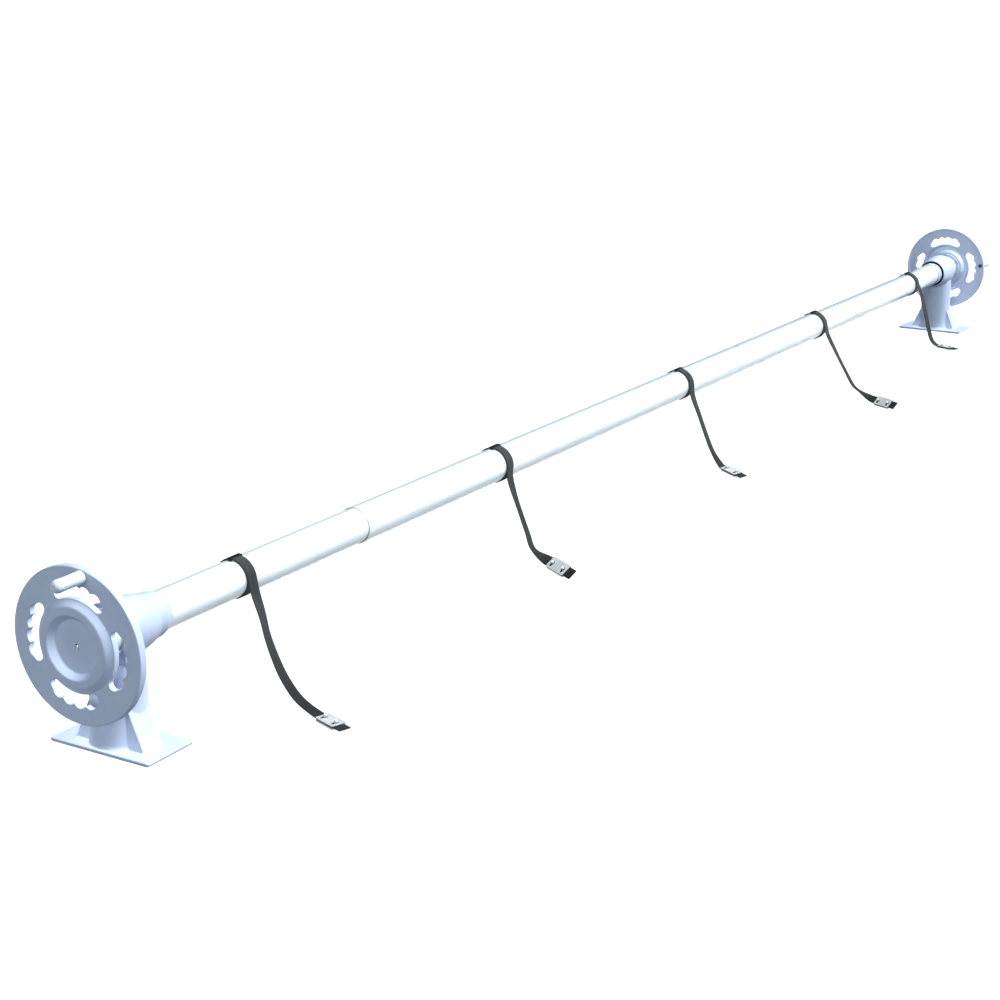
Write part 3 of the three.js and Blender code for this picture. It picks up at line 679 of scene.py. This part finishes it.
def end_pieces(side, turn, slot, place):
    """Every piece of one end. Its wheel is turned, and its knob sits just before one slot."""
    knob_at = direction(turn + 90 * slot - 3) * KNOB_ORBIT
    spool, support, grip = f"{side}_spool", f"{side}_support", f"{side}_grip"

    def put(obj, material, body, *nodes, at=(0, 0, 0), slot_name=None):
        obj.data.transform(place @ Matrix.Translation(Vector(at) * MM))
        return dress(obj, material, body, nodes)

    put(stand(f"{side}_stand_moulding"), "white_plastic", support, f"{side}_stand")
    put(wheel(f"{side}_handwheel", turn, knob_at), "white_plastic", spool, f"{side}_wheel")

    bush = turned(f"{side}_bush", rounded([
        (-27.8, 36.6, 0.4), (-27.8, 46, 0.8), (-24.8, 46, 0.3), (-24.8, 40, 0.3), (65.6, 40, 0.5),
        (65.6, SLEEVE, 0.4), (-27.8, 36.6, 0.4),
    ])[1:-1], 96, ring=True)
    put(shade(bush), "natural_nylon", support, f"{side}_bearing_bush")
    seal = turned(f"{side}_seal", rounded([
        (66, SLEEVE, 0), (66, 42.9, 0.4), (68.0, 42.9, 0.7), (68.6, 41.6, 0.4), (68.0, 40.2, 0.4),
        (68.7, 38.4, 0.6), (68.7, SLEEVE, 0),
    ], 3), 96, ring=True)
    put(shade(seal, 50), "black_rubber", support, f"{side}_seal_ring")

    outside = COLLAR[side]
    collar = turned(f"{side}_nose_collar", rounded([
        (outside[0][0], SLEEVE, 0), *outside, (outside[-1][0], SLEEVE, 0),
    ], 4), 128, ring=True)
    screw_seat = COLLAR_SCREW_SEAT[side]
    screw_place = X_AXIS * COLLAR_SCREWS["x"]
    holes = []
    for angle in COLLAR_SCREWS["angles"]:
        out = direction(angle)
        holes.append(rod("hole", 2.5, out * 33 + screw_place, out * 46 + screw_place))
        sink = turned("sink", [
            (screw_seat - 1.6, 0), (screw_seat - 1.6, 2.5), (screw_seat, 4.4),
            (screw_seat + 6, 5.6), (screw_seat + 6, 0),
        ], 32)
        sink.data.transform(Matrix.Translation(screw_place * MM) @ facing(out))
        holes.append(sink)
    put(shade(combine(collar, holes)), "white_plastic", spool, f"{side}_collar")

    start, end = END_TUBE
    tube = turned(f"{side}_end_tube", rounded([
        (start, 34.6, 0), (start, END_TUBE_RADIUS, 0.4), (end, END_TUBE_RADIUS, 0.5),
        (end, 34.6, 0.3), (start, 34.6, 0),
    ])[:-1], 128, ring=True)
    put(shade(tube, 50), "white_tube", spool, f"{side}_tube")

    hub = turned(f"{side}_hub_flange", rounded([
        (-86.2, 0, 0), (-86.2, 50, 0.8), (-80, 50, 1), (-80, 40.5, 1.5), (-42, 40, 0.8),
        (-42, 34.3, 0.6), (40, 33.8, 1), (40, 30.3, 0.6), (-72.2, 30.3, 2), (-72.2, 0, 0),
    ], 4), 96)
    put(shade(hub), "natural_nylon", spool, f"{side}_hub")
    for k in range(3):
        at = direction(30 + 120 * k) * 45 + X_AXIS * -79.7
        fixing = screw(f"{side}_hub_fixing_{k + 1}", 2, 3.6, 10.5, 2.4)
        fixing.data.transform(Matrix.Rotation(math.pi, 4, "Z"))
        put(fixing, "zinc_steel", spool, f"{side}_hub_screw_{k + 1}", at=at)
    centre = screw(f"{side}_centre_fixing", 2.5, 4.4, 15, 2.2)
    put(centre, "zinc_steel", spool, f"{side}_wheel_screw", at=(FACE + 1.7, 0, 0))
    for k, angle in enumerate(COLLAR_SCREWS["angles"]):
        fixing = screw(f"{side}_collar_fixing_{k + 1}", 2.2, 4.1, 8.6, 1.6)
        fixing.data.transform(facing(direction(angle + 180)))
        at = direction(angle) * screw_seat + screw_place
        put(fixing, "zinc_steel", spool, f"{side}_collar_screw_{k + 1}", at=at)

    foot = FACE - 2.1             # the knob stands on a washer on the wheel's face
    tip = foot - 64
    knob = turned(f"{side}_crank_knob", rounded([
        (tip + 3, 0, 0), (tip + 3, 6.2, 0.8), (tip + 9, 6.2, 0.5), (tip + 9, 3.4, 0.4),
        (foot, 3.4, 0.4), (foot, 12, 1.6), (foot - 6, 11.7, 5), (foot - 32, 11.1, 30),
        (foot - 52, 11.6, 12), (tip + 4.5, 10.9, 7), (tip + 0.4, 6, 6), (tip, 0, 0),
    ], 8), 64)
    # The knob takes the lighter copy of the white plastic, a painted light.
    put(shade(knob), "knob_plastic_painted_lighter", grip, f"{side}_knob", at=knob_at, slot_name="white_plastic")
    washer = turned(f"{side}_crank_washer", rounded([
        (foot + 0.3, 3.3, 0.2), (foot + 0.3, 7.5, 0.4), (foot + 1.8, 7.5, 0.4),
        (foot + 1.8, 3.3, 0.2),
    ], 3), 48, ring=True)
    put(shade(washer, 50), "zinc_steel", spool, f"{side}_knob_washer", at=knob_at)
    bolt = screw(f"{side}_crank_bolt", 3, 5.2, 79, 4)
    put(bolt, "dark_steel", spool, f"{side}_knob_bolt", at=knob_at + X_AXIS * (tip + 8.7))
    nut = hexagon_nut(f"{side}_crank_nut", 10, 5.5, 3.1)
    put(nut, "dark_steel", spool, f"{side}_knob_nut", at=knob_at + X_AXIS * (FACE + 12.3))


for side, facts in SIDES.items():
    end_pieces(side, **facts)

start, end = MIDDLE_TUBE
middle_tube = turned("middle_tube_finish", rounded([
    (start, SLEEVE, 0.5), (start, MIDDLE_TUBE_RADIUS, 0.6), (end, MIDDLE_TUBE_RADIUS, 0.6),
    (end, SLEEVE, 0.5),
], 3), 128, ring=True)
middle_tube.data.transform(Matrix.Translation((0, 0, AXIS_HEIGHT * MM)))
dress(shade(middle_tube, 50), "white_tube", "middle_section", replaces=("middle_tube",))

# ---------------------------------------------------------------- straps

STRAP_WIDTH, STRAP_THICK = 25.4, 1.6
STRAP_SLACK = 0.5             # between the tube and the first layer
STRAP_LAYER = 2               # from the first layer's middle to the second's
STRAP_TAIL = 19               # beyond the clamp
CLAMP_LENGTH, CLAMP_WIDTH, CLAMP_PLATE, CLAMP_GAP = 54, 31, 2.4, 0.5
PEG_PLACE = 17                # each side of the clamp's middle
LEAVING = 32                  # the station where a strap is clear of the tube
# Each strap: its place along the tube, the sideways lean of its fall in degrees, the roll of
# its clamp, the stations that the twist between them takes, the clamp's middle and direction,
# and the points (x from the strap's place, y, height) that it hangs through.
STRAPS = [
    {
        "x": 324.5, "tube": END_TUBE_RADIUS, "body": "left_end_tube",
        "lean": -15, "roll": 0, "twist": 17,
        "clamp": (-73, -262, 4.3), "along": (-0.35, -0.94, 0),
        "hang": [(0, -45, 185), (-2, -61, 144), (-10, -78, 109), (-23, -104, 77),
                 (-38, -136, 48), (-51, -178, 20)],
    },
    {
        "x": 1245.5, "tube": MIDDLE_TUBE_RADIUS, "body": "middle_tube_finish",
        "lean": -14, "roll": 40, "twist": 5,
        "clamp": (-64.5, -202, 17.8), "along": (-0.3, -0.94, -0.17),
        "hang": [(0, -40, 184), (-1, -49, 153), (-12, -76, 104), (-26, -101, 68),
                 (-43, -125, 41)],
    },
    {
        "x": 2181, "tube": MIDDLE_TUBE_RADIUS, "body": "middle_tube_finish",
        "lean": -7, "roll": 7, "twist": 6,
        "clamp": (-55.5, -188, 9.2), "along": (-0.38, -0.917, -0.12),
        "hang": [(0, -44, 184), (-3, -67, 132), (-16, -95.5, 82), (-30, -121, 46)],
    },
    {
        "x": 3124.5, "tube": MIDDLE_TUBE_RADIUS, "body": "middle_tube_finish",
        "lean": -8, "roll": 40, "twist": 5,
        "clamp": (-82, -266, 14.8), "along": (-0.33, -0.94, -0.05),
        "hang": [(0, -48, 187), (-3, -76, 139), (-23, -116, 90), (-49, -160, 45),
                 (-56, -184, 33)],
    },
    {
        "x": 3969.5, "tube": END_TUBE_RADIUS, "body": "right_end_tube",
        "lean": 8, "roll": 0, "twist": 6,
        "clamp": (6, -150, 4.3), "along": (-0.35, -0.94, 0),
        "hang": [(0, -50, 190), (0, -60, 160), (2, -75, 106), (7, -86, 58), (12, -99, 20)],
    },
]


def spline_point(p0, p1, p2, p3, t):
    """A point between p1 and p2 on a centripetal curve through the four points."""
    d0, d1, d2 = ((a - b).length ** 0.5 for a, b in ((p0, p1), (p1, p2), (p2, p3)))
    t1 = (p1 - p0) / d0 - (p2 - p0) / (d0 + d1) + (p2 - p1) / d1
    t2 = (p2 - p1) / d1 - (p3 - p1) / (d1 + d2) + (p3 - p2) / d2
    t1, t2 = t1 * d1, t2 * d1
    c2 = -3 * p1 + 3 * p2 - 2 * t1 - t2
    c3 = 2 * p1 - 2 * p2 + t1 + t2
    return p1 + t1 * t + c2 * t * t + c3 * t ** 3


def spline(points, steps):
    """A fine curve through points, as (point, place along the list of points)."""
    ends = [points[0] * 2 - points[1], *points, points[-1] * 2 - points[-2]]
    out = []
    for k in range(len(points) - 1):
        for step in range(steps):
            out.append((spline_point(*ends[k:k + 4], step / steps), k + step / steps))
    out.append((points[-1], len(points) - 1))
    return out


def strap_line(strap):
    """The strap's centreline, from its end on top of the tube to its tail beyond the clamp."""
    place = X_AXIS * strap["x"]
    first = strap["tube"] + STRAP_SLACK + STRAP_THICK / 2
    points = []
    # The wrap takes 1.2 turns, and its last part rises over the first layer.
    for step in range(31):
        angle = 80 - 14.4 * step
        radius = first + STRAP_LAYER * smoothstep(-angle, 232, 276)
        points.append(place + Vector((0, 0, AXIS_HEIGHT)) + direction(angle) * radius)
    along = Vector(strap["along"]).normalized()
    clamp = Vector(strap["clamp"]) + place
    reach = CLAMP_LENGTH / 2
    guide = [points[-2], points[-1], *(Vector(p) + place for p in strap["hang"]),
             clamp - along * (reach + 10), clamp - along * reach, clamp]
    hanging = spaced([p for p, _ in spline(guide, 60)], 24)
    top = points[-1].z - 4
    points += [p for p in hanging if p.z < top and (p - clamp).length > reach + 2]
    points += [clamp - along * CLAMP_LENGTH * share for share in (0.5, 0.25, 0, -0.25, -0.5)]
    points.append(clamp + along * (reach + STRAP_TAIL))
    return points


def strap_frames(strap, detail=5):
    """Fine points along the strap, each with its across, away and along axes."""
    coarse = strap_line(strap)
    count = len(coarse)
    fine = spline(coarse, detail)
    frames = []
    for k, (point, place) in enumerate(fine):
        along = (fine[min(k + 1, len(fine) - 1)][0] - fine[max(k - 1, 0)][0]).normalized()
        across = (X_AXIS - along * along.x).normalized()
        away = along.cross(across)
        hanging = strap["lean"] * smoothstep(place, LEAVING, LEAVING + 6)
        share = smoothstep(place, count - 6 - strap["twist"], count - 6)
        turn = math.radians(hanging + (strap["roll"] - hanging) * share)
        axes = (across * math.cos(turn) + away * math.sin(turn),
                away * math.cos(turn) - across * math.sin(turn), along)
        frames.append((point, axes))
    return frames


def strap_section():
    """The webbing's cross-section: (across, away) points with full round edges and fine ribs."""
    half, thick = STRAP_WIDTH / 2, STRAP_THICK / 2
    columns, ribs = 24, 12
    top = []
    for k in range(columns + 1):
        u = -half + 0.5 + (2 * half - 1) * k / columns
        rib = 0.07 * math.cos(math.pi * 2 * (k / columns) * ribs)
        edge = 0.12 * smoothstep(abs(u), half - 2.4, half - 0.8)
        top.append((u, thick - 0.08 + rib - edge))
    side = [(half - 0.12, thick * 0.45), (half, 0), (half - 0.12, -thick * 0.45)]
    return top + side + [(u, -v) for u, v in reversed(top)] + [(-u, -v) for u, v in side]


def strap_piece(number, strap):
    """The webbing of one strap, with its texture laid along it."""
    frames = strap_frames(strap)
    section = strap_section()
    size = len(section)
    loops, place_along = [], [0.0]
    for k, (point, (across, away, _)) in enumerate(frames):
        if k:
            place_along.append(place_along[-1] + (point - frames[k - 1][0]).length)
        narrow, flat = (0.985, 0.55) if k in (0, len(frames) - 1) else (1, 1.0)
        loops.append([point + across * u * narrow + away * v * flat for u, v in section])
    obj = prism(f"webbing_strap_{number}", loops)
    layer = obj.data.uv_layers.new(name="strap")
    for corner, spot in zip(obj.data.loops, layer.data):
        row, k = divmod(corner.vertex_index, size)
        spot.uv = (section[k][0] * MM + 0.05, place_along[row] * MM)
    shade(obj, 60)
    body = f"hanging_strap_{number}"
    dress(obj, "webbing", body, replaces=(f"strap_{number}",))


def stack(name, outline, levels):
    """A solid through (y, growth) levels of an (x, z) outline."""
    return prism(name, [[(x, y, z) for x, z in offset_outline(outline, grow)]
                        for y, grow in levels])


def plate(name, outline, low, high, edge=0.5):
    """A flat plate from y = low to y = high over an (x, z) outline, with rounded edges."""
    return stack(name, outline, [
        (low, -edge), (low + edge * 0.35, -edge * 0.3), (low + edge, 0),
        (high - edge, 0), (high - edge * 0.35, -edge * 0.3), (high, -edge),
    ])


def clamp_pieces(number, strap):
    """A clamp: a base with two pegs under the strap, and a cover with two keyholes over it."""
    _, (across, away, along) = strap_frames(strap, 1)[-4]
    clamp = Vector(strap["clamp"]) + X_AXIS * strap["x"]
    place = Matrix.Translation(clamp * MM) @ Matrix((across, away, along)).transposed().to_4x4()
    under = -STRAP_THICK / 2 - CLAMP_GAP
    over = STRAP_THICK / 2 + CLAMP_GAP
    shape = outline_box(CLAMP_WIDTH, CLAMP_LENGTH, 3.2)

    base = plate(f"clamp_{number}_base", shape, under - CLAMP_PLATE, under)
    pegs = []
    for z in (-PEG_PLACE, PEG_PLACE):
        peg = turned("peg", rounded([
            (under - 1.2, 0, 0), (under - 1.2, 3.5, 0), (8.0, 3.3, 1.4), (9.4, 2.2, 0.8),
            (9.4, 0, 0),
        ], 4), 32)
        turn = Matrix.Rotation(math.pi / 2, 4, "Z")
        peg.data.transform(Matrix.Translation((0, 0, z * MM)) @ turn)
        pegs.append(peg)
    combine(base, pegs, "UNION")

    top = over + CLAMP_PLATE
    cover = plate(f"clamp_{number}_cover", shape, over, top)
    cuts = []
    for z in (-PEG_PLACE, PEG_PLACE):
        # Each keyhole is a round hole for the peg's head and a throat beside it.
        turns = [math.radians(a) for a in range(-138, 139, 12)]
        keyhole = [(3.9 * math.cos(a), z + 3.9 * math.sin(a)) for a in turns]
        keyhole += [
            (-9.2, z + 2.6), (-10.2, z + 1.6), (-10.6, z), (-10.2, z - 1.6), (-9.2, z - 2.6),
        ]
        cuts.append(stack("keyhole", keyhole, [
            (over - 1, 0), (top - 0.45, 0), (top - 0.12, 0.15), (top, 0.5), (top + 1, 1.2),
        ]))
    # Three shallow grip grooves run across the plate between the pegs.
    for z in (-6, 0, 6):
        groove = turned("groove", [(-11, 0), (-11, 0.9), (11, 0.9), (11, 0)], 16)
        groove.data.transform(Matrix.Translation((0, (top + 0.45) * MM, z * MM)))
        cuts.append(groove)
    combine(cover, cuts)
    # The base with its pegs takes the lighter copy of the clamp plastic, a painted light.
    for obj, material, body, node in (
            (base, "peg_plastic_painted_lighter", f"hanging_strap_{number}", f"clamp_base_{number}"),
            (cover, "milky_plastic", f"clip_{number}", f"clamp_cover_{number}")):
        obj.data.transform(place)
        dress(shade(obj), material, body, replaces=(node,))


def keeper_piece(number, strap):
    """A small staple over the strap's two layers on top of the tube, with a lug at one edge."""
    wall, lug, foot = 1.6, 5, 0.6
    side = STRAP_WIDTH / 2 + 0.4
    top = STRAP_SLACK + STRAP_THICK + STRAP_LAYER + 0.4
    shape = [
        (-side - lug, foot), (-side, foot), (-side, top), (side, top), (side, foot),
        (side + wall, foot), (side + wall, top + wall), (-side - lug, top + wall),
    ]
    obj = stack(f"loop_keeper_{number}", rounded([(x, z, 0.5) for x, z in shape], 3), [
        (-4.5, -0.35), (-4.2, -0.1), (-3.8, 0), (3.8, 0), (4.2, -0.1), (4.5, -0.35),
    ])
    lean = math.radians(-2)
    out = Vector((0, math.sin(lean), math.cos(lean)))
    centre = Vector((strap["x"], 0, AXIS_HEIGHT)) + out * strap["tube"]
    obj.data.transform(Matrix.Translation(centre * MM) @ Matrix.Rotation(-lean, 4, "X"))
    dress(shade(obj), "black_plastic", f"hanging_strap_{number}",
          replaces=(f"strap_keeper_{number}",))


for number, strap in enumerate(STRAPS, 1):
    strap_piece(number, strap)
    clamp_pieces(number, strap)
    keeper_piece(number, strap)

# ---------------------------------------------------------------- floor and backdrop

FLOOR_REACH, FLOOR_DROP = 150, 0.0006
BACKDROP_RADIUS = 140


def floor_material():
    """A warm pale floor, slightly uneven."""
    s = Shader("floor", Roughness=0.9)
    tone = s.mix(s.span(s.noise(1.3, 4), 0.3, 0.7), (0.86, 0.83, 0.80), (0.88, 0.85, 0.82))
    return s.set(Base_Color=tone, Normal=s.bump(s.noise(40, 4), 0.0005, 0.3))


floor_mesh = bpy.data.meshes.new("floor")
floor_mesh.from_pydata([(x * FLOOR_REACH, y * FLOOR_REACH, -FLOOR_DROP) for x, y in
                        ((-1, -1), (1, -1), (1, 1), (-1, 1))], [], [(0, 1, 2, 3)])
floor_mesh.materials.append(floor_material())
floor = bpy.data.objects.new("floor", floor_mesh)
scene.collection.objects.link(floor)
floor.visible_diffuse = False  # without the floor's bounce, undersides stay grey


def backdrop():
    """A pale dome that only the camera sees, so that no view ends in a dark sky."""
    s = Shader("backdrop", Base_Color=(0, 0, 0, 1), Specular_IOR_Level=0.0,
               Emission_Color=(1, 1, 1, 1), Emission_Strength=1.0)
    dome = bpy.data.objects.new("backdrop", bpy.data.meshes.new("backdrop"))
    edit(dome, lambda bm: bmesh.ops.create_uvsphere(
        bm, u_segments=48, v_segments=24, radius=BACKDROP_RADIUS))
    dome.data.materials.append(s.material)
    for ray in ("diffuse", "glossy", "transmission", "volume_scatter", "shadow"):
        setattr(dome, f"visible_{ray}", False)
    scene.collection.objects.link(dome)
    return dome


backdrop()
